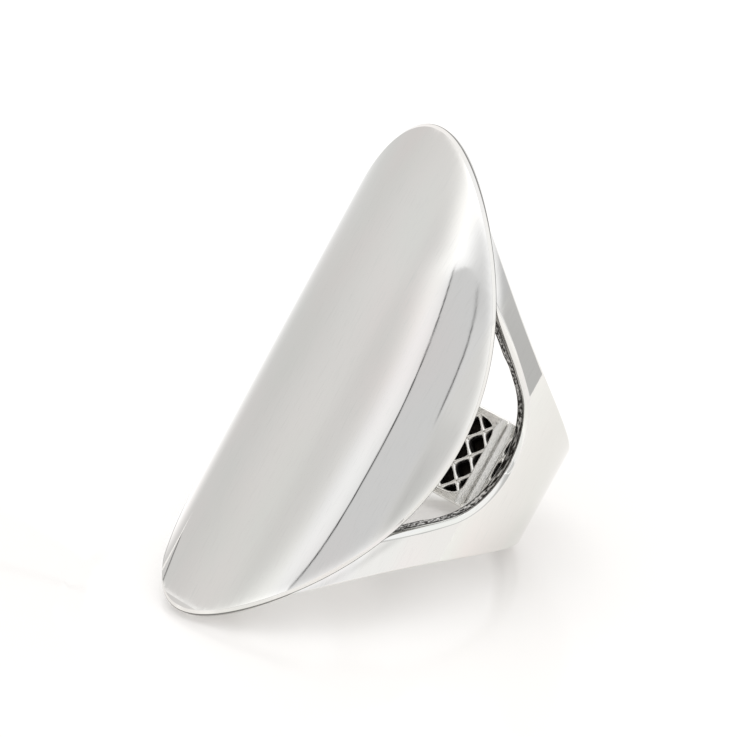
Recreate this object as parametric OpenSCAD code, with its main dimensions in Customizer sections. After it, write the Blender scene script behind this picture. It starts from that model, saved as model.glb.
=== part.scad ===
// Wide band ring with a long oval saddle face, resting on the tip of its face and the back of its band.
// The pieces are drawn in the finger's frame, X across it, Y along it, Z towards the face, and leaned to rest.

/* [Face] */
// Length of the face along the finger
face_length = 37.2; // [36.4:0.2:39]
// Outer radius of the face across the finger
face_radius = 10.7; // [10.6:0.05:11]
// Thickness of the face plate
face_thickness = 0.9; // [0.7:0.05:1.0]
// Drop of the face's edge at the middle of its length, as a share of its radius
edge_depth = 0.64; // [0.6:0.01:0.7]
// How much straighter that edge runs towards the tips than a parabola
edge_straightness = 0.36; // [0.3:0.01:0.45]
// Share of the half length at which the edge's wall turns from facing sideways to facing along the finger
wall_turn = 0.72; // [0.68:0.02:0.76]
// Height of the edge wall at each tip
tip_wall = 0.85; // [0.6:0.05:0.85]

/* [Band] */
// Outer radius of the band
band_radius = 10.75; // [10.6:0.05:10.9]
// Inner radius of the band behind the lining
band_bore_radius = 9.7; // [9.6:0.05:9.75]
// Inner radius of the arms inside the face
arm_bore_radius = 9.3; // [9.2:0.05:9.4]
// Length that the arms run on below the face's edge, inside the band
arm_overlap = 1.2; // [1:0.1:1.5]
// Width of the band at the back
band_width = 7.0; // [6.6:0.1:7.6]
// Radius of the hollow flare from the back to the tips, seen from the side
flare_radius = 27; // [25:0.5:30]
// Distance of the flare's start below the finger's centre
flare_start = 8.5; // [8:0.1:9]
// Angle between the flare and the straight back where it starts
flare_angle = 10.5; // [9:0.5:12]
// Half width of the flat that the back of the band stands on
foot_half_width = 3.4; // [3:0.1:4]

/* [Side openings] */
// Radius of the rounded lower end of each opening
opening_radius = 6.6; // [6:0.1:7]
// Depth of that end below the finger's centre
opening_depth = 0.3; // [0:0.1:0.8]
// Slope of the opening's sides, in degrees
opening_slope = 49; // [47:1:51]
// Shift of the openings along the finger
opening_shift = 0.6; // [0:0.1:0.8]

/* [Lining] */
// Finger radius inside the lining, US size 7
finger_radius = 8.65; // [8.6:0.05:8.7]
// Angle that the lining covers to each side of the middle of the back
lining_reach = 72; // [66:1:74]
// Width of the rail along each rim of the lining
rail_width = 0.55; // [0.45:0.05:0.7]
// Width of the plain bar at the middle of the back
bar_width = 1.8; // [1.6:0.1:2.2]
// Width of the trellis bars
trellis_bar = 0.4; // [0.35:0.05:0.5]
// Number of diamonds across the lining
trellis_rows = 3; // [2:1:4]
// Number of diamonds along each window
trellis_columns = 5; // [4:1:6]

/* [Hidden] */
$fn = 96;
// Hairline left between neighbouring pieces
solder_gap = 0.03;
// Length by which a cutter runs past what it cuts
past = 2;
// Straight steps that a curved outline is drawn with
outline_steps = 24;
silver = [0.88, 0.88, 0.87];
dark_silver = [0.55, 0.55, 0.54];

half_length = face_length / 2;
half_band = band_width / 2;

// The face's edge, at a share x of the half length from the middle: its height and its distance from the middle
function edge_z(x) = face_radius * (1 - edge_depth * (1 - pow(x, 2)) * (1 - edge_straightness * pow(x, 2)));
function edge_x(x) = sqrt(max(0, pow(face_radius, 2) - pow(edge_z(x), 2)));
tip_end_z = face_radius - tip_wall;

// The hollow flare of the band's rims, an arc about a point out beyond each rim
flare_y = half_band + flare_radius * cos(flare_angle);
flare_z = -flare_start - flare_radius * sin(flare_angle);
flare_top_angle = asin((face_radius - flare_z) / flare_radius);

// The lean at which the lower tip and the back of the band both touch the floor
foot_rise = band_radius - sqrt(pow(band_radius, 2) - pow(foot_half_width, 2));
lean = atan((tip_end_z + band_radius - foot_rise) / (half_length - half_band));
foot_step = foot_rise / tan(lean);
rest_z = half_length * sin(lean) - tip_end_z * cos(lean);
front_y = -half_length * cos(lean) - face_radius * sin(lean);
rear_y = (half_band - foot_step) * cos(lean) + band_radius * sin(lean);
rest_y = -(front_y + rear_y) / 2;

// Angles at the finger's centre that the lining's plain bar, its ends and its diamonds take up
degrees_per_mm = 180 / (PI * finger_radius);
bar_half_angle = bar_width / 2 * degrees_per_mm;
end_angle = rail_width * degrees_per_mm;
window_width = band_width - 2 * rail_width;
cell_angle = (lining_reach - bar_half_angle - end_angle) / trellis_columns;
cell_length = cell_angle / degrees_per_mm;
cell_width = window_width / trellis_rows;

module rest() {
    translate([0, rest_y, rest_z])
        rotate([lean, 0, 0])
            children();
}

// A tube round the finger
module tube(outer, inner, length) {
    rotate([90, 0, 0])
        difference() {
            cylinder(r = outer, h = length, center = true);
            cylinder(r = inner, h = length + past, center = true);
        }
}

// Carries an outline drawn as (along the finger, towards the face) across the whole ring
module across() {
    rotate([90, 0, 90])
        linear_extrude(height = 4 * face_radius, center = true)
            children();
}

// Everything above the face's edge, seen from the side, with a shallower line under each tip
module above_edge() {
    polygon(concat(
        [[-half_length - past, face_radius + past], [-half_length - past, tip_end_z], [-half_length, tip_end_z]],
        [for (i = [0 : outline_steps])
            let (x = wall_turn * (2 * i / outline_steps - 1))
            [x * half_length, edge_z(x)]],
        [[half_length, tip_end_z], [half_length + past, tip_end_z], [half_length + past, face_radius + past]]
    ));
}

// One tip of the face's outline, seen from above
function tip_outline(side) = [
    for (i = [-outline_steps / 2 : outline_steps / 2])
        let (share = abs(2 * i / outline_steps), x = 1 - (1 - wall_turn) * pow(share, 2))
        [side * sign(i) * edge_x(x), side * x * half_length]
];

// The face's outline, seen from above: its two tips, with the middle left wide
module face_plan() {
    wide = face_radius + past;
    waist = wall_turn * half_length - past;
    polygon(concat(
        tip_outline(1),
        [[wide, waist], [wide, -waist]],
        tip_outline(-1),
        [[-wide, -waist], [-wide, waist]]
    ));
}

// One rim of the band, seen from the side, from the foot up the flare
function rim(side) = concat(
    [
        [side * (half_band - foot_step), -band_radius - past],
        [side * (half_band - foot_step), -band_radius],
        [side * half_band, foot_rise - band_radius]
    ],
    [for (i = [0 : outline_steps])
        let (angle = flare_angle + (flare_top_angle - flare_angle) * i / outline_steps)
        [side * (flare_y - flare_radius * cos(angle)), flare_z + flare_radius * sin(angle)]],
    [[side * half_length, face_radius + past]]
);

// The band's outline, seen from the side
module band_side() {
    right = rim(1);
    left = rim(-1);
    polygon(concat(right, [for (i = [len(left) - 1 : -1 : 0]) left[i]]));
}

// The side openings: a round lower end and straight sides that run up under the face
module opening_side() {
    centre_z = opening_radius - opening_depth;
    side_y = opening_radius * sin(opening_slope);
    side_z = centre_z - opening_radius * cos(opening_slope);
    top_z = face_radius + past;
    top_y = side_y + (top_z - side_z) / tan(opening_slope);
    translate([opening_shift, 0])
        polygon(concat(
            [[-top_y, top_z]],
            [for (i = [0 : outline_steps])
                let (angle = opening_slope * (2 * i / outline_steps - 1))
                [opening_radius * sin(angle), centre_z - opening_radius * cos(angle)]],
            [[top_y, top_z]]
        ));
}

// The long oval face plate, curved across the finger and straight along it
module shield() {
    color(silver)
        intersection() {
            tube(face_radius, face_radius - face_thickness, face_length + past);
            across() above_edge();
            linear_extrude(height = face_radius + past) face_plan();
        }
}

// The band: one sheet below the face's edge, and arms inside the face that overlap it and carry the face
module shank() {
    color(silver)
        difference() {
            intersection() {
                union() {
                    difference() {
                        tube(band_radius, band_bore_radius, face_length);
                        across() translate([0, -solder_gap]) above_edge();
                    }
                    intersection() {
                        tube(face_radius - face_thickness - solder_gap, arm_bore_radius, face_length);
                        across() translate([0, -arm_overlap]) above_edge();
                    }
                }
                across() band_side();
                linear_extrude(height = 4 * face_radius, center = true) face_plan();
            }
            across() opening_side();
        }
}

// One gap of the trellis, cut towards the finger's axis: a diamond, or half of one along a window's border
module trellis_gap(side, column, row) {
    reach_x = (cell_length - trellis_bar * sqrt(2)) / 2;
    reach_y = (cell_width - trellis_bar * sqrt(2)) / 2;
    back_x = column == 0 ? 0 : reach_x;
    front_x = column == 2 * trellis_columns ? 0 : reach_x;
    low_y = row == 0 ? 0 : reach_y;
    high_y = row == 2 * trellis_rows ? 0 : reach_y;
    rotate([0, 180 - side * (bar_half_angle + column * cell_angle / 2), 0])
        translate([0, (row - trellis_rows) * cell_width / 2, band_radius - past])
            linear_extrude(height = 2 * past, center = true)
                polygon([[side * back_x, 0], [0, -low_y], [-side * front_x, 0], [0, high_y]]);
}

// The pierced lining inside the back of the band
module lattice_lining() {
    outer = band_bore_radius - solder_gap;
    color(dark_silver)
        difference() {
            intersection() {
                tube(outer, finger_radius, band_width);
                across() band_side();
                across() translate([-band_width, -2 * outer])
                    square([2 * band_width, 2 * outer - outer * cos(lining_reach)]);
            }
            for (side = [-1, 1], column = [0 : 2 * trellis_columns], row = [0 : 2 * trellis_rows])
                if ((column + row) % 2 == 1)
                    trellis_gap(side, column, row);
        }
}

rest() shield();
rest() shank();
rest() lattice_lining();
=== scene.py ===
"""Wide band ring in polished silver, laid out as an add-on and run as a script.

Every shape is worked out in the finger's own frame, as (across, along, up): across the finger, along it, and
towards the face. The ring then leans back until the lower tip of its face and the back of its band touch the floor.
Round the finger, a place is given by its turn, the angle from the middle of the face.
"""
from collections import namedtuple

import bpy
import numpy as np
from bpy.props import FloatProperty, FloatVectorProperty, IntProperty, PointerProperty
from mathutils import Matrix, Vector


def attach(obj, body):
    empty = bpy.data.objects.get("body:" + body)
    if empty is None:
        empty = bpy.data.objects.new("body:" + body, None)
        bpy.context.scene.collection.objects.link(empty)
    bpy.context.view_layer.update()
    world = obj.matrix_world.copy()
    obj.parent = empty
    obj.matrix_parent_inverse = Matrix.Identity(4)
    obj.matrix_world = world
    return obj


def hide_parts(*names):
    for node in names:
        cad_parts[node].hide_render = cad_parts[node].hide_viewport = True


bl_info = {
    "name": "Wide band ring",
    "version": (1, 0, 0),
    "blender": (4, 5, 0),
    "location": "View3D > Sidebar > Ring",
    "description": "Polished silver ring with a long oval face, a flared open band and a trellis lining",
    "category": "Object",
}

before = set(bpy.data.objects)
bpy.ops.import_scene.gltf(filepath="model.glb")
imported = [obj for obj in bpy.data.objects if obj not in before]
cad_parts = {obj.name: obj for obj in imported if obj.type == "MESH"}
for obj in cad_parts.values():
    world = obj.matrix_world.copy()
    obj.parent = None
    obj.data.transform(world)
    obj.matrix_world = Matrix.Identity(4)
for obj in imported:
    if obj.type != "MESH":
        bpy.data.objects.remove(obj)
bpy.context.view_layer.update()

MM = 0.001
RIGHT_ANGLE = np.pi / 2
FULL_CIRCLE = 2 * np.pi
MERGE_STEP = 1e-4 * MM
# Angle round the finger at which the camera stands
CAMERA_TURN = np.radians(46.85)
# Steps of the grids: round the face and across its sheets, up the back and across the band's sheets, along an
# opening's edge from its lower end to over the finger, and round a gap and a window of the lining
FACE_WAYS = np.linspace(0, FULL_CIRCLE, 385)
FACE_SHARES = np.linspace(0, 1, 25)
BACK_ROWS = np.linspace(0, 1, 49)[:-1]
BAND_SHARES = np.linspace(0, 1, 49)
OPENING_ROWS = np.linspace(0, 1, 97)
GAP_WAYS = np.linspace(0, FULL_CIRCLE, 33)
WINDOW_WAYS = np.linspace(0, FULL_CIRCLE, 129)
# Roundings down the face's rim: on to the bevel, off it, and under the wall, which leans in a little
FACE_ROUNDS = (0.06 * MM, 0.12 * MM, 0.15 * MM)
FACE_WALL_LEAN = 0.05 * MM
# Places in that rim's profile where a dark line of painted shade runs round the corner under the bevel, and how dark
# that painted shade is there and along the band's rims
EDGE_LINE = (6, 7, 8, 9)
EDGE_SHADE, RIM_SHADE = 0.75, 0.3
# Turns between which the band's outer radius rises from the seam's, and the height over which its inner one rises
SEAM_TURN, FULL_TURN = np.radians(60), np.radians(100)
ARM_BLEND = 0.5 * MM
# Step, in millimetres and in radians, over which the slope of the band's sheets is taken
SLOPE_STEP = 0.01
# Turn and length over which the bore's patina fades out at the edges of the lining
BORE_FADE_TURN, BORE_FADE = 0.04, 0.3 * MM
# Shape of the lining's gaps: rounded diamonds, a little smaller than their cells allow, in rounded windows
GAP_POWER = 1.3
GAP_FULLNESS = 0.86
WINDOW_POWER = 7
SQUARE_POWER = 200
# Shape of the trellis bars' half-round section, and how far the bars and their gaps run on under the frame
BAR_POWER = 0.6
BAR_BURIED, GAP_BURIED = 0.3 * MM, 0.1 * MM
# Rounding of the lining's frame, its distance from the band's rims, and the run over which the plain bar's slope
# levels out again
FRAME_ROUND, FRAME_INSET, ROOF_FADE = 0.12 * MM, 0.05 * MM, 0.6 * MM
# Shares of the lining's depth between which its patina sets in
PATINA_DEPTHS = (0.156, 0.781)
# Directions (degrees) and places along the finger (mm) for which the tent's cloth is worked out
TENT_WAYS = np.linspace(-156, 117, 1639)
TENT_PLACES = np.concatenate([
    np.linspace(-220, -20, 11)[:-1], np.linspace(-20, 20, 201), np.linspace(20, 220, 11)[1:]])
# The cloth's clearance from the floor, its least reach, and the place, width and darkness of its hem
FLOOR_CLEARANCE, LEAST_REACH = 1 * MM, 7 * MM
HEM_REACH, HEM_WIDTH, HEM_DARKNESS = 8 * MM, 0.5 * MM, 0.7
# Brightness of the tent for a glow of 1, with what the silver takes away made up
TENT_GAIN = 1.175
# Glow of the tent's parts: the even cloth, the flap, the cloth beyond it, the cloth that the lower and the upper arm
# mirror, the white past the tips, and the darkest that a seam gets
CLOTH, FLAP, BEYOND, LOWER_ARM, UPPER_ARM, WHITE, DARKEST = 0.62, 0.63, 0.62, 0.9, 0.5, 0.95, 0.03
# Half width of the two long seams, in degrees
SEAM_WIDTH = 0.52
# What each tint of the cloth adds to its red, green and blue
WARM, STRAW, COOL, ROSY = (0.014, 0, -0.004), (0.002, 0, -0.002), (-0.006, 0, 0.018), (0.016, -0.014, -0.01)
FLOOR_REACH = 1.5
SOFTBOX_PLACE, SOFTBOX_SIZE = (-0.1, 0.0, 0.35), 0.2

# One grid of points with the way that each faces, how far the metal is left as cast there, and how far it is darkened
# by patina or by painted shade lines
Patch = namedtuple("Patch", "points normals cast patina")


def length(name, description, millimetres):
    """A setting for a length, given in millimetres and kept in metres."""
    return FloatProperty(name=name, description=description, default=millimetres * MM, min=0, unit="LENGTH")


def angle(name, description, degrees):
    """A setting for an angle, given in degrees and kept in radians."""
    return FloatProperty(name=name, description=description, default=np.radians(degrees), unit="ROTATION")


def share(name, description, value):
    """A setting for a share of something."""
    return FloatProperty(name=name, description=description, default=value, min=0, soft_max=1)


def count(name, description, value):
    """A setting for a number of things."""
    return IntProperty(name=name, description=description, default=value, min=1)


def linear(hex_colour):
    """An sRGB hex colour as a linear (red, green, blue, 1)."""
    srgb = np.array([int(hex_colour[i:i + 2], 16) for i in (1, 3, 5)]) / 255
    rgb = np.where(srgb <= 0.04045, srgb / 12.92, ((srgb + 0.055) / 1.055) ** 2.4)
    return (*rgb.tolist(), 1.0)


def colour(name, description, hex_colour):
    """A setting for a colour, given as an sRGB hex value and kept as linear light."""
    return FloatVectorProperty(
        name=name, description=description, subtype="COLOR", size=4, min=0, max=1, default=linear(hex_colour))


class FaceSettings(bpy.types.PropertyGroup):
    """Sizes of the long oval face."""
    length: length("Length", "Length of the face along the finger", 37.2)
    radius: length("Radius", "Outer radius across the finger", 10.7)
    thickness: length("Thickness", "Thickness of the plate", 0.9)
    edge_depth: share("Edge depth", "Drop of the edge at mid length, as a share of the radius", 0.64)
    edge_straightness: share("Edge straightness", "How much straighter the edge runs towards the tips", 0.36)
    tip_wall: length("Tip wall", "Height of the edge wall at each tip", 0.85)
    bevel_tip: length("Bevel at the tips", "Width of the bright bevel at the tips", 0.28)
    bevel_side: length("Bevel at the sides", "Width of the bright bevel at mid length", 0.3)
    bevel_drop: length("Bevel drop", "Depth that the bevel falls", 0.15)


class BandSettings(bpy.types.PropertyGroup):
    """Sizes of the band with its two pairs of arms."""
    radius: length("Radius", "Outer radius at the back", 10.75)
    seam_radius: length("Seam radius", "Outer radius where the arms run in under the face", 10.53)
    bore_radius: length("Bore radius", "Inner radius behind the lining", 9.7)
    arm_bore_radius: length("Arm bore radius", "Inner radius of the arms inside the face", 9.3)
    arm_overlap: length("Arm overlap", "Length that the arms run on below the face's edge", 1.2)
    width: length("Width", "Width at the back", 7.0)
    flare_radius: length("Flare radius", "Radius of the hollow flare of the rims", 27.0)
    flare_start: length("Flare start", "Distance of the flare's start below the finger's centre", 8.5)
    flare_angle: angle("Flare angle", "Angle between the flare and the back where it starts", 10.5)
    foot_half_width: length("Foot", "Half width of the flat that the back stands on", 3.4)
    rim_round: length("Rim rounding", "Radius of the rims' outer corner", 0.2)
    inner_round: length("Inner rounding", "Radius of the corners at the bore", 0.12)


class OpeningSettings(bpy.types.PropertyGroup):
    """Sizes of the lens-shaped side openings."""
    radius: length("Radius", "Radius of the rounded lower end", 6.6)
    depth: length("Depth", "Depth of that end below the finger's centre", 0.3)
    slope: angle("Slope", "Slope of the straight sides", 49)
    shift: length("Shift", "Shift along the finger", 0.6)
    lip_round: length("Lip rounding", "Radius of the polished lip", 0.4)


class LiningSettings(bpy.types.PropertyGroup):
    """Sizes of the pierced lining inside the back."""
    radius: length("Finger radius", "Radius of the hollow, US size 7", 8.65)
    reach: angle("Reach", "Angle covered to each side of the middle of the back", 72)
    rail: length("Rail", "Width of the rail along each rim", 0.55)
    bar: length("Bar", "Width of the plain bar at the middle of the back", 1.8)
    bar_roof: length("Bar slope", "Fall of each half of the plain bar from its ridge", 0.04)
    trellis_bar: length("Trellis bar", "Width of the crossing bars", 0.4)
    rows: count("Rows", "Diamonds across the lining", 3)
    columns: count("Columns", "Diamonds along each window", 5)
    solder_gap: length("Solder gap", "Hairline between the lining and the bore", 0.03)
    sunk: length("Trellis depth", "How far the trellis lies below the frame", 0.22)


class FinishSettings(bpy.types.PropertyGroup):
    """Colours of the silver."""
    polished: colour("Polished silver", "Polished sterling silver", "#E8E7E4")
    warm: colour("Warm patches", "Patches of the polish that lean warm", "#E9E5E2")
    cool: colour("Cool patches", "Patches of the polish that lean green", "#E5E6E2")
    haze: colour("Hazy streaks", "Streaks of the polish with fine scratches", "#E4E3E0")
    crest: colour("Lining's crests", "Tumbled silver on the lining", "#F7F6F3")
    cast: colour("Cast silver", "Silver left as cast on the openings' walls", "#E2E1DF")
    # This dark colour is the patina and also the painted shade of the dark lines along the face's edge and the band's
    # wall corners
    patina: colour("Patina", "Darkened silver in the recesses", "#25221F")


class StageSettings(bpy.types.PropertyGroup):
    """Camera, floor and light."""
    azimuth: angle("Azimuth", "Camera's angle round the ring", 53.0)
    elevation: angle("Elevation", "Camera's angle above the floor", 24.0)
    distance: length("Distance", "Camera's distance", 379.3)
    field: length("Field", "Width of the frame at the ring", 50.83)
    aim_right: length("Aim right", "Distance of the finger's centre right of the frame's", 2.67)
    aim_down: length("Aim down", "Distance of the finger's centre below the frame's", 3.66)
    floor: colour("Floor", "Opal white acrylic", "#D6D5D4")
    glow: share("Glow", "Brightness of the acrylic lit from below", 0.28)
    tent_reach: length("Tent's reach", "Distance of the tent's cloth from the face", 165)
    studio: share("Studio", "Brightness of the white studio", 1.04)
    overhead: share("Overhead", "Brightness of the softbox overhead", 1.0)


class RingSettings(bpy.types.PropertyGroup):
    """All settings of the ring."""
    face: PointerProperty(type=FaceSettings)
    band: PointerProperty(type=BandSettings)
    opening: PointerProperty(type=OpeningSettings)
    lining: PointerProperty(type=LiningSettings)
    finish: PointerProperty(type=FinishSettings)
    stage: PointerProperty(type=StageSettings)


def ring_of(context):
    """The ring's settings in the scene."""
    return context.scene.wide_band_ring


def ramp(x, start, end):
    """3s² - 2s³ of the share s of the way from the start to the end, held at 0 and 1 outside."""
    s = np.clip((x - start) / (end - start), 0, 1)
    return s * s * (3 - 2 * s)


def bell(x, centre, width):
    """exp(-((x - c) / w)²)."""
    return np.exp(-((x - centre) / width) ** 2)


def unit(vectors):
    """Vectors at length 1."""
    return vectors / np.linalg.norm(vectors, axis=-1, keepdims=True)


def stacked(*parts):
    """Arrays of like or broadcast shape, as the last axis of one array."""
    return np.stack(np.broadcast_arrays(*parts), -1).astype(float)


def rest_place(ring):
    """The lean and the finger centre's place at rest, as in the CAD: tan(lean) = rise of the tip above the foot
    over the run between them, with the tip and the foot on the floor and the whole centred on its box."""
    face, band = ring.face, ring.band
    tip_up = face.radius - face.tip_wall
    foot_rise = band.radius - np.sqrt(band.radius ** 2 - band.foot_half_width ** 2)
    half_length, half_band = face.length / 2, band.width / 2
    lean = np.arctan2(tip_up + band.radius - foot_rise, half_length - half_band)
    foot_step = foot_rise / np.tan(lean)
    up = half_length * np.sin(lean) - tip_up * np.cos(lean)
    front = -half_length * np.cos(lean) - face.radius * np.sin(lean)
    rear = (half_band - foot_step) * np.cos(lean) + band.radius * np.sin(lean)
    return lean, np.array([0, -(front + rear) / 2, up]), foot_rise, foot_step


def leaned(ring, vectors):
    """Turns vectors from the finger's frame to the world by the lean: y = a cos - n sin, z = a sin + n cos."""
    lean = rest_place(ring)[0]
    across, along, up = np.moveaxis(vectors, -1, 0)
    return stacked(across, along * np.cos(lean) - up * np.sin(lean), along * np.sin(lean) + up * np.cos(lean))


def round_finger(radius, turn, along):
    """The point (r sin t, a, r cos t) of a cylinder round the finger."""
    return stacked(radius * np.sin(turn), along, radius * np.cos(turn))


def facing_normals(points, reference):
    """Unit normals of a grid that closes on itself along its first direction: the cross product of its two
    directions, turned as a whole towards the reference."""
    wrapped = np.concatenate([points[-2:-1], points, points[1:2]])
    down = np.gradient(wrapped, axis=0)[1:-1]
    crossed = np.cross(down, np.gradient(points, axis=1))
    if (crossed * reference).sum() < 0:
        crossed = -crossed
    return unit(crossed + 1e-12 * reference)


def patch(points, normals, cast=0.0, patina=0.0):
    """A Patch whose masks are spread over its grid."""
    shape = points.shape[:2]
    return Patch(points, unit(normals), np.broadcast_to(cast, shape), np.broadcast_to(patina, shape))


def mirrored(patches):
    """The patches and their mirror images across the finger."""
    flip = np.array([-1, 1, 1])
    return patches + [Patch(p.points * flip, p.normals * flip, p.cast, p.patina) for p in patches]


def grid_corners(item, start):
    """Quads of one patch as rows of four point numbers, wound so that each faces the way of its normals."""
    rows, columns = item.points.shape[:2]
    number = start + np.arange(rows * columns).reshape(rows, columns)
    quads = np.stack([number[:-1, :-1], number[1:, :-1], number[1:, 1:], number[:-1, 1:]], -1).reshape(-1, 4)
    p, n = item.points, item.normals
    wound = np.cross(p[1:, 1:] - p[:-1, :-1], p[:-1, 1:] - p[1:, :-1])
    meant = n[1:, 1:] + n[:-1, :-1] + n[:-1, 1:] + n[1:, :-1]
    turned = ((wound * meant).sum(-1) < 0).reshape(-1)
    quads[turned] = quads[turned, ::-1]
    return quads


def make_piece(ring, name, patches, material, replaced):
    """Joins patches into one closed mesh: points closer than MERGE_STEP are one vertex, and quads that have
    lost a side become triangles. Each corner keeps its patch's own normal."""
    points = np.concatenate([p.points.reshape(-1, 3) for p in patches])
    normals = leaned(ring, np.concatenate([p.normals.reshape(-1, 3) for p in patches]))
    masks = {part: np.concatenate([getattr(p, part).reshape(-1) for p in patches]) for part in ("cast", "patina")}
    starts = np.cumsum([0] + [p.points.shape[0] * p.points.shape[1] for p in patches])
    quads = np.concatenate([grid_corners(p, start) for p, start in zip(patches, starts)])
    keys = np.round(points / MERGE_STEP).astype(np.int64)
    _, first, merged = np.unique(keys, axis=0, return_index=True, return_inverse=True)
    merged = merged.reshape(-1)
    kept = merged[quads] != np.roll(merged[quads], 1, axis=1)
    whole, three = kept.all(1), kept.sum(1) == 3
    fours, threes = quads[whole], quads[three][kept[three]].reshape(-1, 3)
    placed = leaned(ring, points[first]) + rest_place(ring)[1]
    mesh = bpy.data.meshes.new(name)
    mesh.from_pydata(placed.tolist(), [], merged[fours].tolist() + merged[threes].tolist())
    mesh.shade_smooth()
    mesh.normals_split_custom_set(normals[np.concatenate([fours.reshape(-1), threes.reshape(-1)])].tolist())
    for part, values in masks.items():
        layer = mesh.attributes.new(part, "FLOAT", "POINT")
        layer.data.foreach_set("value", values[first].astype(np.float32))
    mesh.materials.append(material)
    piece = bpy.data.objects.new(name, mesh)
    bpy.context.scene.collection.objects.link(piece)
    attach(piece, "root")
    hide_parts(replaced)
    return piece


def edge_height(face, along):
    """Height of the face's edge at a distance along the finger, x = a / H of the half length:
    R (1 - d (1 - x²)(1 - k x²))."""
    x2 = (2 * along / face.length) ** 2
    return face.radius * (1 - face.edge_depth * (1 - x2) * (1 - face.edge_straightness * x2))


def face_outline(face, way, inset):
    """The face's outline at an angle w, as (along, turn): a = H cos w and t = 2 asin(sin w g), with
    g = √(d (1 - k cos² w) / 2), moved by the inset along the surface and square to the outline.
    Also gives the outward direction there, as (along, round the finger)."""
    depth, bend = face.edge_depth, face.edge_straightness
    half = face.length / 2
    g = np.sqrt(depth * (1 - bend * np.cos(way) ** 2) / 2)
    s = np.sin(way) * g
    slope = np.cos(way) * g + np.sin(way) * depth * bend * np.cos(way) * np.sin(way) / (2 * g)
    along, turn = half * np.cos(way), 2 * np.arcsin(s)
    run = stacked(-half * np.sin(way), face.radius * 2 * slope / np.sqrt(1 - s * s))
    out = unit(stacked(run[..., 1], -run[..., 0]))
    return along - inset * out[..., 0], turn - inset * out[..., 1] / face.radius, out


def rounded(corners, radii, steps):
    """A profile in (out, up) along the corners, each rounded by an arc: the arc's centre lies the radius below
    both sides. The profile's ends are left out. Gives places and outward normals, for every row at once."""
    places, normals = [], []
    for before, corner, after, radius in zip(corners, corners[1:], corners[2:], radii):
        ahead, onward = unit(corner - before), unit(after - corner)
        first, last = stacked(-ahead[..., 1], ahead[..., 0]), stacked(-onward[..., 1], onward[..., 0])
        turn = np.arccos(np.clip((ahead * onward).sum(-1, keepdims=True), -1, 1))
        centre = corner - ahead * radius * np.tan(turn / 2) - first * radius
        for k in np.linspace(0, 1, steps + 1):
            normal = unit(first * np.sin((1 - k) * turn) + last * np.sin(k * turn))
            places.append(centre + radius * normal)
            normals.append(normal)
    return np.stack(places, -2), np.stack(normals, -2)


def face_patches(ring):
    """The face plate: for each angle w round its outline, a line runs out from the middle line of the top to the
    edge, down the bevel and the wall, and back along the underside to the middle line."""
    face = ring.face
    bevel = face.bevel_tip + (face.bevel_side - face.bevel_tip) * np.sin(FACE_WAYS) ** 2
    level = np.zeros_like(bevel)
    profile, leans = rounded(
        [
            stacked(-2 * bevel, level),
            stacked(-bevel, level),
            stacked(level, level - face.bevel_drop),
            stacked(level - FACE_WALL_LEAN, level - face.thickness),
            stacked(-2 * bevel, level - face.thickness),
        ],
        FACE_ROUNDS, 4)
    # Rows of the rim's profile that get a dark line of painted shade round the edge under the bevel
    line = np.isin(np.arange(profile.shape[1]), EDGE_LINE)
    along, turn, out = face_outline(face, FACE_WAYS[:, None], -profile[..., 0])
    radius = face.radius + profile[..., 1]
    radial = round_finger(1, turn, 0)
    sideways = stacked(out[..., 1] * np.cos(turn), out[..., 0], -out[..., 1] * np.sin(turn))
    rim_points = round_finger(radius, turn, along)
    rim_normals = leans[..., :1] * sideways + leans[..., 1:] * radial
    patches = [patch(rim_points, rim_normals, patina=EDGE_SHADE * line)]
    for end, sign in ((0, 1), (-1, -1)):
        spread = turn[:, end, None] * FACE_SHARES
        sheet = round_finger(radius[:, end, None], spread, along[:, end, None])
        patches.append(patch(sheet, sign * round_finger(1, spread, 0)))
    return patches


def band_half_width(ring, up):
    """Distance of the band's rims along the finger at a height, and its slope: half the width below the flare,
    then flare_along - √(F² - (z - flare_up)²), less the foot's cut at the very back."""
    band = ring.band
    foot_rise, foot_step = rest_place(ring)[2:]
    flare_along = band.width / 2 + band.flare_radius * np.cos(band.flare_angle)
    flare_up = -band.flare_start - band.flare_radius * np.sin(band.flare_angle)
    above = np.maximum(up, -band.flare_start) - flare_up
    level = np.sqrt(band.flare_radius ** 2 - above ** 2)
    foot = foot_step * np.clip(1 - (up + band.radius) / foot_rise, 0, 1)
    slope = np.where(up > -band.flare_start, above / level, foot_step / foot_rise * (foot > 0))
    return flare_along - level - foot, slope


def opening_edge(ring, side, way, offset, radius):
    """Edge of a side opening on a cylinder, moved out by an offset. Its way runs from 0 at the lower end, round
    an arc, to 0.5, then straight up to 1 over the finger. Gives (along, turn, slope of the edge)."""
    opening = ring.opening
    reach = opening.radius + offset
    bend = opening.slope * np.clip(2 * way, 0, 1)
    up = opening.radius - opening.depth - reach * np.cos(bend)
    end_turn = np.arccos((opening.radius - opening.depth - reach * np.cos(opening.slope)) / radius)
    turn = np.where(way < 0.5, np.arccos(np.clip(up / radius, -1, 1)), end_turn * np.clip(2 - 2 * way, 0, 1))
    rise = np.where(way < 0.5, 0, radius * np.cos(turn) - up)
    return opening.shift + side * (reach * np.sin(bend) + rise / np.tan(opening.slope)), turn, bend


def strip_rows(ring, side, offset, radius):
    """The inner edge of one loop of the band as (along, turn): up the middle of the back to the opening, then
    along the opening's edge until it is over the finger."""
    beside, beside_turn, _ = opening_edge(ring, side, OPENING_ROWS, offset, radius)
    middle = ring.opening.shift * ramp(BACK_ROWS, 0, 1)
    middle_turn = np.pi + (beside_turn[0] - np.pi) * BACK_ROWS
    return np.concatenate([middle, beside]), np.concatenate([middle_turn, beside_turn])


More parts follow.
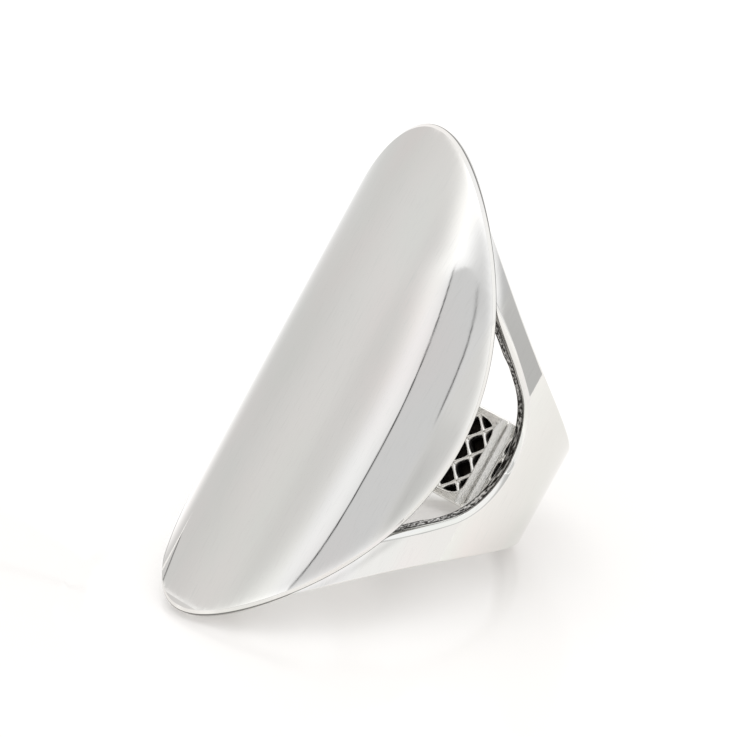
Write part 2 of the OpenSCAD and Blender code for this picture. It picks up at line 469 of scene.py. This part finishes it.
def sheet_radii(ring, along, turn):
    """The band's outer and inner radius: round the finger towards the face the outer drops to the seam's, so that
    the arms run in under the bevel, and inside the face the inner drops to the arms'."""
    face, band = ring.face, ring.band
    below = edge_height(face, along) - face.radius * np.cos(turn)
    sunk = ramp(below, band.arm_overlap, band.arm_overlap + ARM_BLEND)
    outer = band.seam_radius + (band.radius - band.seam_radius) * ramp(turn, SEAM_TURN, FULL_TURN)
    return outer + 0 * below, band.arm_bore_radius + (band.bore_radius - band.arm_bore_radius) * sunk


def band_sheet(ring, side, inner):
    """The outer or the inner surface of one loop of the band, ruled along the finger from its rim to its
    inner edge. Its normal is the radial one less the radius's slope."""
    band = ring.band
    nominal = band.bore_radius if inner else band.radius
    rim_round = band.inner_round if inner else band.rim_round
    edge_round = band.inner_round if inner else ring.opening.lip_round
    edge, turn = (rows[:, None] for rows in strip_rows(ring, side, edge_round, nominal))
    rim = side * (band_half_width(ring, nominal * np.cos(turn))[0] - rim_round)
    along = rim + (edge - rim) * BAND_SHARES
    turn = turn + 0 * along
    radius = sheet_radii(ring, along, turn)[inner]
    slopes = []
    for along_step, turn_step in ((SLOPE_STEP * MM, 0), (0, SLOPE_STEP)):
        ahead = sheet_radii(ring, along + along_step, turn + turn_step)[inner]
        behind = sheet_radii(ring, along - along_step, turn - turn_step)[inner]
        slopes.append(((ahead - behind) / (2 * SLOPE_STEP))[..., None])
    normals = (
        round_finger(1, turn, 0) - slopes[0] / MM * np.array([0, 1, 0])
        - slopes[1] / radius[..., None] * stacked(np.cos(turn), 0, -np.sin(turn)))
    lining_end, half_width = np.pi - ring.lining.reach, band.width / 2
    covered = ramp(turn, lining_end, lining_end + BORE_FADE_TURN)
    covered *= ramp(np.abs(along), half_width, half_width - BORE_FADE)
    return patch(round_finger(radius, turn, along), -normals if inner else normals, patina=inner * covered)


def wall_profile(ring, outer_round):
    """A wall from the outer to the inner surface with both corners rounded, as (radius, inset, tilt, line): the
    tilt runs from 0, facing out, over a quarter turn, facing sideways, to a half turn, facing the finger. The
    line is 1 where a corner meets the wall, where the walls get a dark line of painted shade."""
    band = ring.band
    arc = np.linspace(0, RIGHT_ANGLE, 6)
    straight = np.linspace(band.radius - outer_round, band.bore_radius + band.inner_round, 6)[1:-1]
    radius = np.concatenate([
        band.radius - outer_round * (1 - np.cos(arc)), straight,
        band.bore_radius + band.inner_round * (1 - np.sin(arc))])
    inset = np.concatenate([
        outer_round * (1 - np.sin(arc)), 0 * straight, band.inner_round * (1 - np.cos(arc))])
    tilt = np.concatenate([arc, 0 * straight + RIGHT_ANGLE, RIGHT_ANGLE + arc])
    line = np.zeros_like(tilt)
    line[[len(arc) - 1, -len(arc)]] = 1
    return radius, inset, tilt, line


def wall_patch(ring, along, turn, radius, tilt, sideways, cast=0.0, patina=0.0):
    """A wall as a patch, its radii drawn in or out to meet the outer and the inner surface."""
    band = ring.band
    outer = sheet_radii(ring, along[:, :1], turn[:, :1])[0]
    inner = sheet_radii(ring, along[:, -1:], turn[:, -1:])[1]
    radius = inner + (outer - inner) * (radius - band.bore_radius) / (band.radius - band.bore_radius)
    normals = np.cos(tilt)[:, None] * round_finger(1, turn, 0) + np.sin(tilt)[:, None] * unit(sideways)
    return patch(round_finger(radius, turn, along), normals, cast, patina)


def band_walls(ring, side):
    """The rim's wall and the opening's wall of one loop of the band, with dark lines of painted shade where their
    corners meet the flat of each wall.
    """
    band, opening = ring.band, ring.opening
    radius, inset, tilt, line = wall_profile(ring, band.rim_round)
    outer_turn = strip_rows(ring, side, opening.lip_round, band.radius)[1][:, None]
    bore_turn = strip_rows(ring, side, band.inner_round, band.bore_radius)[1][:, None]
    turn = outer_turn + (bore_turn - outer_turn) * (band.radius - radius) / (band.radius - band.bore_radius)
    half, slope = band_half_width(ring, radius * np.cos(turn))
    # Dark lines of painted shade where the rim's rounded corners meet its wall
    rim = wall_patch(
        ring, side * (half - inset), turn, radius, tilt, stacked(0, side, -slope), patina=RIM_SHADE * line)
    radius, inset, tilt, line = wall_profile(ring, opening.lip_round)
    along, turn, bend = opening_edge(ring, side, OPENING_ROWS[:, None], inset, radius)
    sideways = stacked(0, -side * np.sin(bend), np.cos(bend)) + 0 * turn[..., None]
    # The flat of the opening's wall is left as cast, and where its corners meet it the line paints dark lines of shade
    cast = tilt == RIGHT_ANGLE
    return [rim, wall_patch(ring, along, turn, radius, tilt, sideways, cast, line)]


def band_patches(ring):
    """The band: two loops, each mirrored across the finger, joined up the middle of the back."""
    patches = []
    for side in (-1, 1):
        patches += [band_sheet(ring, side, False), band_sheet(ring, side, True), *band_walls(ring, side)]
    return mirrored(patches)


def superellipse(way, power):
    """Distance from the centre at an angle: (|cos|^p + |sin|^p)^(-1/p), a diamond at 1, near a square past 8."""
    return (np.abs(np.cos(way)) ** power + np.abs(np.sin(way)) ** power) ** (-1 / power)


def oval(way, power, reach_round, reach_along):
    """A superellipse with its own reach to each of its four sides, as (round the finger, along)."""
    size = superellipse(way, power)
    return stacked(
        size * np.cos(way) * np.where(np.cos(way) < 0, *reach_round),
        size * np.sin(way) * np.where(np.sin(way) < 0, *reach_along))


def collar(centre, hole, border, across, radius, back_radius, finger_radius, top_is_level):
    """The metal round one gap: a surface from the gap's edge out to the border, at the given shares across and
    radii, and the flat back behind it. The centre is (turn from the back, along). The patina deepens with the
    distance from the finger."""
    spot = centre + hole[:, None] + (border - hole)[:, None] * across[..., None]
    turn = np.pi - spot[..., 0]
    points = round_finger(radius, turn, spot[..., 1])
    inwards = -round_finger(1, turn, 0)
    normals = facing_normals(points, inwards)
    if top_is_level:
        normals[:, -1] = inwards[:, -1]
    depth = (radius - finger_radius) / (back_radius - finger_radius)
    top = patch(points, normals, patina=ramp(depth, *PATINA_DEPTHS))
    ends = points[:, [0, -1]]
    outwards = -inwards[:, [0, -1]]
    back = patch(round_finger(back_radius, turn[:, [0, -1]], spot[:, [0, -1], 1]), outwards, patina=1.0)
    return [top, back]


def trellis_patches(ring):
    """The trellis in one window: every gap is a rounded diamond, and half of one along the window's border,
    with a collar of half-round bars up to the bars' middle lines."""
    lining = ring.lining
    per_length = 1 / lining.radius
    start = lining.bar / 2 * per_length
    cell_turn = (lining.reach - lining.rail * per_length - start) / lining.columns
    cell_along = (ring.band.width - 2 * lining.rail) / lining.rows
    bar = lining.trellis_bar * np.sqrt(2)
    half = np.array([cell_turn / 2, cell_along / 2])
    gap = GAP_FULLNESS * (half - bar / 2 * np.array([per_length, 1]))
    buried_gap, buried = GAP_BURIED * np.array([per_length, 1]), BAR_BURIED * np.array([per_length, 1])
    back_radius = ring.band.bore_radius - lining.solder_gap
    crest = lining.radius + lining.sunk
    climb = np.linspace(0, RIGHT_ANGLE, 8) * np.ones((len(GAP_WAYS), 1))
    radius = back_radius - (back_radius - crest) * np.sin(climb) ** BAR_POWER
    across = 1 - np.cos(climb)
    patches = []
    for column in range(2 * lining.columns + 1):
        for row in range(2 * lining.rows + 1):
            if (column + row) % 2 == 0:
                continue
            ends = ((column > 0, column < 2 * lining.columns), (row > 0, row < 2 * lining.rows))
            holes = [[gap[k] if free else buried_gap[k] for free in ends[k]] for k in (0, 1)]
            borders = [[half[k] if free else buried[k] for free in ends[k]] for k in (0, 1)]
            centre = np.array([start + column * cell_turn / 2, (row - lining.rows) * cell_along / 2])
            patches += collar(
                centre, oval(GAP_WAYS, GAP_POWER, *holes), oval(GAP_WAYS, 1, *borders), across, radius,
                back_radius, lining.radius, True)
    return patches


def frame_patches(ring):
    """One half of the lining's frame: rail, end bar, rail and half the plain bar as one collar round a window."""
    lining = ring.lining
    per_length = 1 / lining.radius
    window_start = lining.bar / 2 * per_length
    window_end = lining.reach - lining.rail * per_length
    half_turn, half_along = (window_end - window_start) / 2, ring.band.width / 2 - lining.rail
    centre = np.array([(window_start + window_end) / 2, 0])
    hole = oval(WINDOW_WAYS, WINDOW_POWER, (half_turn, half_turn), (half_along, half_along))
    rim_along = ring.band.width / 2 - FRAME_INSET
    border = oval(WINDOW_WAYS, SQUARE_POWER, (centre[0], lining.reach - centre[0]), (rim_along, rim_along))
    border[..., 0] = np.maximum(border[..., 0], -centre[0])
    back_radius = ring.band.bore_radius - lining.solder_gap
    high = back_radius - lining.radius
    corner, arc = FRAME_ROUND, np.linspace(0, RIGHT_ANGLE, 5)
    run = (np.linalg.norm((border - hole) * np.array([lining.radius, 1]), axis=-1))[:, None]
    flat = corner + (run - 2 * corner) * np.linspace(0, 1, 12)[1:-1]
    on_bar = (border[:, 0] <= -centre[0] + 1e-9)[:, None] & (np.abs(border[:, 1]) < rim_along - 1e-9)[:, None]
    last_out = np.where(on_bar, run, run - corner + corner * np.sin(arc))
    last_up = np.where(on_bar, high, high - corner + corner * np.cos(arc))
    offset = np.concatenate([0 * run, corner * (1 - np.cos(arc)) + 0 * run, flat, last_out, run], 1)
    height = np.concatenate([
        0 * run, high - corner + corner * np.sin(arc) + 0 * run, high + 0 * flat, last_up, 0 * run], 1)
    across = offset / run
    spot = hole[:, None] + (border - hole)[:, None] * across[..., None]
    from_middle = (centre[0] + spot[..., 0]) * lining.radius
    half_bar = lining.bar / 2
    roof = np.clip(from_middle / half_bar, 0, 1) * ramp(from_middle, half_bar + ROOF_FADE, half_bar)
    height = np.maximum(height - lining.bar_roof * roof, 0)
    return collar(centre, hole, border, across, back_radius - height, back_radius, lining.radius, False)


def lining_patches(ring):
    """The pierced lining: a frame and a trellis on each side of the middle of the back."""
    return mirrored(frame_patches(ring) + trellis_patches(ring))


def add_node(tree, kind, inputs=(), **settings):
    """Adds a node with its settings, and fills its inputs with values or with other nodes' outputs."""
    node = tree.nodes.new(kind)
    for key, value in settings.items():
        setattr(node, key, value)
    for socket, value in dict(inputs).items():
        if isinstance(value, bpy.types.NodeSocket):
            tree.links.new(value, node.inputs[socket])
        else:
            node.inputs[socket].default_value = value
    return node


def new_material(name):
    """An empty node material with its output, as (material, tree, output)."""
    material = bpy.data.materials.new(name)
    material.use_nodes = True
    tree = material.node_tree
    tree.nodes.clear()
    return material, tree, add_node(tree, "ShaderNodeOutputMaterial")


def pattern_noise(tree, ring, across, along, detail):
    """Noise in the finger's frame, with grains of these sizes in millimetres across and along the finger."""
    lean = rest_place(ring)[0]
    place = add_node(tree, "ShaderNodeTexCoord").outputs["Object"]
    turned = add_node(tree, "ShaderNodeMapping", {"Vector": place, "Rotation": (-lean, 0, 0)})
    grain = 1 / (across * MM), 1 / (along * MM), 1 / (across * MM)
    scaled = add_node(tree, "ShaderNodeMapping", {"Vector": turned.outputs[0], "Scale": grain})
    noise = add_node(
        tree, "ShaderNodeTexNoise", {"Vector": scaled.outputs[0], "Scale": 1.0, "Detail": detail})
    return noise.outputs[0]


def polished_silver(ring):
    """Sterling silver, cast, then buffed to a mirror lengthwise: sharp reflections that waver a little, with fine
    hairlines along the finger. The openings' walls are left as cast, and the bore is darkened behind the lining.
    The same dark colour paints lines of shade along the face's edge and the corners of the band's walls."""
    finish = ring.finish
    material, tree, output = new_material("polished sterling silver")
    cast = add_node(tree, "ShaderNodeAttribute", attribute_name="cast").outputs["Fac"]
    patina = add_node(tree, "ShaderNodeAttribute", attribute_name="patina").outputs["Fac"]
    # The mirror leans warm and green by patches a few millimetres wide, and is hazy in fine buffing streaks
    base = tuple(finish.polished)
    for across, along, low, colour_there in (
            (7, 12, 0.4, finish.warm), (5, 12, 0.45, finish.cool), (0.1, 1.6, 0.55, finish.haze)):
        where = add_node(tree, "ShaderNodeMapRange", {
            "Value": pattern_noise(tree, ring, across, along, 1), "From Min": low, "From Max": low + 0.25})
        base = add_node(tree, "ShaderNodeMix", {
            0: where.outputs[0], 6: base, 7: tuple(colour_there)}, data_type="RGBA").outputs[2]
    # On the openings' walls the skin of the casting is wrinkled, bright on its folds and black between them
    fold = add_node(tree, "ShaderNodeMapRange", {
        "Value": pattern_noise(tree, ring, 0.16, 0.8, 3), "From Min": 0.43, "From Max": 0.64})
    skin = add_node(tree, "ShaderNodeMix", {
        0: fold.outputs[0], 6: tuple(finish.patina), 7: tuple(finish.cast)}, data_type="RGBA").outputs[2]
    # The dark mask holds the bore's patina behind the lining and the painted shade of the dark lines along the edges
    for mask, colour_there in ((cast, skin), (patina, tuple(finish.patina))):
        base = add_node(tree, "ShaderNodeMix", {0: mask, 6: base, 7: colour_there}, data_type="RGBA").outputs[2]
    # The wheel's streaks spread the reflections a little; the cast and the darkened metal are matt
    rough = add_node(tree, "ShaderNodeMapRange", {
        "Value": pattern_noise(tree, ring, 0.3, 6, 3), "From Min": 0.3, "From Max": 0.75,
        "To Min": 0.015, "To Max": 0.05}).outputs[0]
    for mask, value in ((cast, 0.35), (patina, 0.5)):
        rough = add_node(tree, "ShaderNodeMix", {0: mask, 2: rough, 3: value}).outputs[0]
    # Waves from hand polishing, hairlines along the finger, and the sand's grain where the metal is as cast
    normal = None
    for height, depth, strength in (
            (pattern_noise(tree, ring, 4, 9, 0), 2.5e-6, 1.0),
            (pattern_noise(tree, ring, 0.07, 5, 2), 2.5e-7, 1.0),
            (pattern_noise(tree, ring, 0.16, 0.16, 3), 6e-5, cast)):
        inputs = {"Height": height, "Distance": depth, "Strength": strength}
        normal = add_node(tree, "ShaderNodeBump", {**inputs, "Normal": normal} if normal else inputs).outputs[0]
    shader = add_node(tree, "ShaderNodeBsdfPrincipled", {
        "Base Color": base, "Metallic": 1.0, "Roughness": rough, "Normal": normal})
    tree.links.new(shader.outputs[0], output.inputs["Surface"])
    return material


def darkened_silver(ring):
    """Sterling silver, cast and tumbled, then darkened: soft bright crests and nearly black recesses."""
    finish = ring.finish
    material, tree, output = new_material("tumbled and darkened sterling silver")
    patina = add_node(tree, "ShaderNodeAttribute", attribute_name="patina").outputs["Fac"]
    stain = add_node(tree, "ShaderNodeMapRange", {
        "Value": pattern_noise(tree, ring, 0.5, 0.5, 2), "From Min": 0.35, "From Max": 0.7, "To Max": 0.35})
    base = add_node(tree, "ShaderNodeMix", {
        0: stain.outputs[0], 6: tuple(finish.crest), 7: tuple(finish.cast)}, data_type="RGBA").outputs[2]
    base = add_node(tree, "ShaderNodeMix", {0: patina, 6: base, 7: tuple(finish.patina)}, data_type="RGBA").outputs[2]
    rough = add_node(tree, "ShaderNodeMix", {0: patina, 2: 0.16, 3: 0.5}).outputs[0]
    bump = add_node(tree, "ShaderNodeBump", {
        "Height": pattern_noise(tree, ring, 0.12, 0.12, 3), "Strength": 0.6, "Distance": 1.5e-5})
    shader = add_node(tree, "ShaderNodeBsdfPrincipled", {
        "Base Color": base, "Metallic": 1.0, "Roughness": rough, "Normal": bump.outputs[0]})
    tree.links.new(shader.outputs[0], output.inputs["Surface"])
    return material


def white_acrylic(ring):
    """Opal acrylic sheet, flame-polished and lit from below: an evenly glowing white body that keeps shadows
    faint, under a clear gloss that mirrors more at low angles."""
    material, tree, output = new_material("white acrylic sheet")
    shader = add_node(tree, "ShaderNodeBsdfPrincipled", {
        "Base Color": tuple(ring.stage.floor), "Roughness": 0.18, "IOR": 1.49,
        "Emission Color": linear("#FFFBF7"), "Emission Strength": ring.stage.glow})
    tree.links.new(shader.outputs[0], output.inputs["Surface"])
    return material


class RING_OT_face(bpy.types.Operator):
    """Make the long oval face plate"""
    bl_idname = "ring.face"
    bl_label = "Face"

    def execute(self, context):
        ring = ring_of(context)
        make_piece(
            ring, "face_plate", face_patches(ring), silver_of(ring), "shield")
        return {"FINISHED"}


class RING_OT_band(bpy.types.Operator):
    """Make the flared band with its side openings"""
    bl_idname = "ring.band"
    bl_label = "Band"

    def execute(self, context):
        ring = ring_of(context)
        make_piece(
            ring, "open_band", band_patches(ring), silver_of(ring), "shank")
        return {"FINISHED"}


class RING_OT_lining(bpy.types.Operator):
    """Make the pierced lining inside the back"""
    bl_idname = "ring.lining"
    bl_label = "Lining"

    def execute(self, context):
        ring = ring_of(context)
        make_piece(
            ring, "trellis_lining", lining_patches(ring), darkened_silver(ring),
            "lattice_lining")
        return {"FINISHED"}


def silver_of(ring):
    """The polished silver, made once."""
    return bpy.data.materials.get("polished sterling silver") or polished_silver(ring)


def make_camera(ring):
    """The camera at the photograph's angle, aimed beside the finger's centre."""
    stage = ring.stage
    az, el = stage.azimuth, stage.elevation
    back = Vector((np.sin(az) * np.cos(el), -np.cos(az) * np.cos(el), np.sin(el)))
    right = Vector((np.cos(az), np.sin(az), 0))
    up = back.cross(right)
    aim = Vector(rest_place(ring)[1]) - stage.aim_right * right + stage.aim_down * up
    data = bpy.data.cameras.new("camera")
    data.lens = data.sensor_width * stage.distance / stage.field
    data.clip_start, data.clip_end = 0.01, 10
    camera = bpy.data.objects.new("camera", data)
    camera.rotation_mode = "QUATERNION"
    camera.rotation_quaternion = (-back).to_track_quat("-Z", "Y")
    camera.location = aim + stage.distance * back
    bpy.context.scene.collection.objects.link(camera)
    bpy.context.scene.camera = camera


def make_floor(ring):
    """A square sheet of white acrylic under the ring."""
    mesh = bpy.data.meshes.new("floor")
    corners = [(x * FLOOR_REACH, y * FLOOR_REACH, 0) for x, y in ((-1, -1), (1, -1), (1, 1), (-1, 1))]
    mesh.from_pydata(corners, [], [range(4)])
    mesh.materials.append(white_acrylic(ring))
    add_stage("floor", mesh)


def tent_glow(ring, way, along):
    """Brightness of the cloth round the ring, by the direction (degrees) and the place along the finger (mm) of
    the face that mirrors it: even grey cloth, a bright gap that widens upwards, a flap between two seams, and
    the paler cloth beyond them. Past the tips it is white."""
    past_tip = ramp(np.abs(along), 21, 27)
    along = np.clip(along, -20, 20)
    # Directions of the two long seams and of a short one near the lower tip, and the flap's rounded upper end
    from_crest = np.abs(along + 2.2)
    first = 38.8 - np.where(along > -2.2, 0.1 * from_crest ** 2, 0.0039 * from_crest ** 3.2)
    second = 65.5 - 0.9 * np.maximum(along, 0) - 0.0011 * np.maximum(along, 0) ** 4
    third = -88 - 3.16 * (along + 14.2)
    flap_top = 11.3 - 0.8 * np.minimum(((way - 33) / 10) ** 2, 1)
    under = ramp(along, flap_top, flap_top - 0.25)
    # The cloth, and the bright gap that moves from the left of the first seam to its right on the way up
    upper = ramp(along, 9, 12)
    glow = CLOTH + 0.07 * ramp(way, -75, -20) - 0.04 * ramp(way, -15, 0) + 0.02 * ramp(along, 2, 10)
    glow += (0.25 + 0.21 * upper) * bell(way, first - 9 + 10 * upper, 12)
    # The flap, which runs over into the cloth beyond it, sharply above and softly below
    beyond = BEYOND + 0.06 * ramp(along, 0.5, 2.5) * ramp(along, 10, 7) - 0.08 * bell(way, 66, 14) * ramp(along, 1, -3)
    flap = FLAP + (beyond - FLAP) * ramp(way, second, second + 1.2 + 6 * ramp(along, 2, -1))
    glow += ramp(way, first, first + 1.2) * under * (flap - glow)
    # A halo where the face ends
    height = edge_height(ring.face, along * MM) / ring.face.radius
    to_edge = np.degrees(2 * np.arccos(np.clip(height, -1, 1)) - CAMERA_TURN) - way
    glow += 0.35 * bell(to_edge, 0, 5)
    # The seams
    seams = bell(way, first, SEAM_WIDTH) * ramp(along, flap_top + 0.4, flap_top) * (along > -13.9)
    seams += 0.75 * bell(way, second, SEAM_WIDTH) * under * ramp(along, 0.5, 2.5)
    seams += 0.7 * bell(way, third, 0.8) * ramp(along, -13.8, -14.6)
    glow = np.maximum(glow - 0.8 * seams, DARKEST)
    # Brighter cloth near the floor, and what the arms mirror past the face's edge
    near = ramp(way, -90, -138 - 1.8 * along)
    arm = LOWER_ARM + (UPPER_ARM - LOWER_ARM) * ramp(along, 1, 5) + 0.06 * ramp(along, 8, 13)
    glow += 0.4 * near + ramp(to_edge, -4, -9) * ramp(way, 40, 50) * (arm - glow)
    return (glow + past_tip * (WHITE - glow)) * TENT_GAIN


def tent_tint(way, along):
    """Colour of the cloth round the ring, by the same two measures: 1 plus each tint's colour times its share."""
    tints = (
        (WARM, bell(way, -20, 35) * ramp(along, 6, -4)),
        (STRAW, bell(way, -70, 35)),
        (COOL, ramp(way, 15, 25) * ramp(way, 70, 62)),
        (ROSY, ramp(way, 80, 92) * ramp(along, 2, -3)))
    return 1 + sum(part[..., None] * np.array(tint) for tint, part in tints)


def make_tent(ring):
    """The cloth of the light tent that the face mirrors, which glows on its inner side only. For each direction φ
    and place a along the finger, its point lies a tent's reach away from the face's point (r sin t, a, r cos t),
    t = (φ + camera's turn) / 2, in the direction in which that point mirrors the camera: (sin φ, a / distance,
    cos φ). It stops above the floor, in a dark hem near the ring."""
    stage, face = ring.stage, ring.face
    way, along = np.meshgrid(TENT_WAYS, TENT_PLACES, indexing="ij")
    angle = np.radians(way)
    start = round_finger(face.radius, (angle + CAMERA_TURN) / 2, along * MM)
    aim = stacked(np.sin(angle), along * MM / stage.distance, np.cos(angle))
    up = rest_place(ring)[1][2] + leaned(ring, start)[..., 2]
    fall = np.maximum(-leaned(ring, aim)[..., 2], 1e-6)
    free = (up - FLOOR_CLEARANCE) / fall
    reach = np.clip(free, LEAST_REACH, stage.tent_reach)
    points = leaned(ring, start + aim * reach[..., None]) + rest_place(ring)[1]
    cloth = Patch(points, -aim, 0 * way, 0 * way)
    mesh = bpy.data.meshes.new("tent_cloth")
    mesh.from_pydata(points.reshape(-1, 3).tolist(), [], grid_corners(cloth, 0).tolist())
    glow = tent_glow(ring, way, along) * (1 - HEM_DARKNESS * bell(free, HEM_REACH, HEM_WIDTH))
    colours = stacked(*np.moveaxis(tent_tint(way, along) * glow[..., None], -1, 0), 1)
    layer = mesh.attributes.new("glow", "FLOAT_COLOR", "POINT")
    layer.data.foreach_set("color", colours.reshape(-1).astype(np.float32))
    material, tree, output = new_material("glowing tent cloth")
    light = add_node(tree, "ShaderNodeEmission", {
        "Color": add_node(tree, "ShaderNodeAttribute", attribute_name="glow").outputs["Color"]})
    shader = add_node(tree, "ShaderNodeMixShader", {
        0: add_node(tree, "ShaderNodeNewGeometry").outputs["Backfacing"], 1: light.outputs[0],
        2: add_node(tree, "ShaderNodeBsdfTransparent").outputs[0]})
    tree.links.new(shader.outputs[0], output.inputs["Surface"])
    mesh.materials.append(material)
    add_stage("tent_cloth", mesh, glossy_only=True)


def add_stage(name, mesh, glossy_only=False):
    """Adds a mesh that isn't part of the ring, seen only in reflections if asked."""
    item = bpy.data.objects.new(name, mesh)
    bpy.context.scene.collection.objects.link(item)
    if glossy_only:
        item.visible_camera = item.visible_diffuse = item.visible_shadow = False


def make_softbox(name, place, size, radiance):
    """A square softbox of even brightness, aimed at the ring."""
    data = bpy.data.lights.new(name, "AREA")
    data.size = size
    data.energy = radiance * np.pi * size * size
    light = bpy.data.objects.new(name, data)
    light.location = place
    light.rotation_mode = "QUATERNION"
    light.rotation_quaternion = Vector(place).to_track_quat("Z", "Y")
    bpy.context.scene.collection.objects.link(light)


class RING_OT_stage(bpy.types.Operator):
    """Make the floor, the light and the camera"""
    bl_idname = "ring.stage"
    bl_label = "Stage"

    def execute(self, context):
        ring = ring_of(context)
        context.scene.view_settings.view_transform = "Standard"
        make_camera(ring)
        make_floor(ring)
        make_tent(ring)
        make_softbox("overhead softbox", SOFTBOX_PLACE, SOFTBOX_SIZE, ring.stage.overhead)
        world = bpy.data.worlds.new("white studio")
        context.scene.world = world
        world.use_nodes = True
        world.node_tree.nodes["Background"].inputs[0].default_value = (1, 1, 1, 1)
        world.node_tree.nodes["Background"].inputs[1].default_value = ring.stage.studio
        return {"FINISHED"}


class RING_PT_panel(bpy.types.Panel):
    """Settings and pieces of the ring"""
    bl_label = "Wide band ring"
    bl_idname = "RING_PT_panel"
    bl_space_type = "VIEW_3D"
    bl_region_type = "UI"
    bl_category = "Ring"

    def draw(self, context):
        ring = ring_of(context)
        settings = ((ring.face, ring.finish), (ring.band, ring.opening), (ring.lining,), (ring.stage,))
        for operator, groups in zip(OPERATORS, settings):
            box = self.layout.box()
            box.operator(operator.bl_idname)
            for group in groups:
                for key in group.__annotations__:
                    box.prop(group, key)


SETTINGS = (
    FaceSettings, BandSettings, OpeningSettings, LiningSettings, FinishSettings, StageSettings, RingSettings)
OPERATORS = (RING_OT_face, RING_OT_band, RING_OT_lining, RING_OT_stage)
CLASSES = (*SETTINGS, *OPERATORS, RING_PT_panel)


def register():
    """Registers the classes and the settings."""
    for item in CLASSES:
        bpy.utils.register_class(item)
    bpy.types.Scene.wide_band_ring = PointerProperty(type=RingSettings)


def unregister():
    """Takes the settings and the classes back."""
    del bpy.types.Scene.wide_band_ring
    for item in reversed(CLASSES):
        bpy.utils.unregister_class(item)


def main():
    """Registers the add-on and makes every piece."""
    register()
    bpy.ops.ring.face()
    bpy.ops.ring.band()
    bpy.ops.ring.lining()
    bpy.ops.ring.stage()


if __name__ == "__main__":
    main()
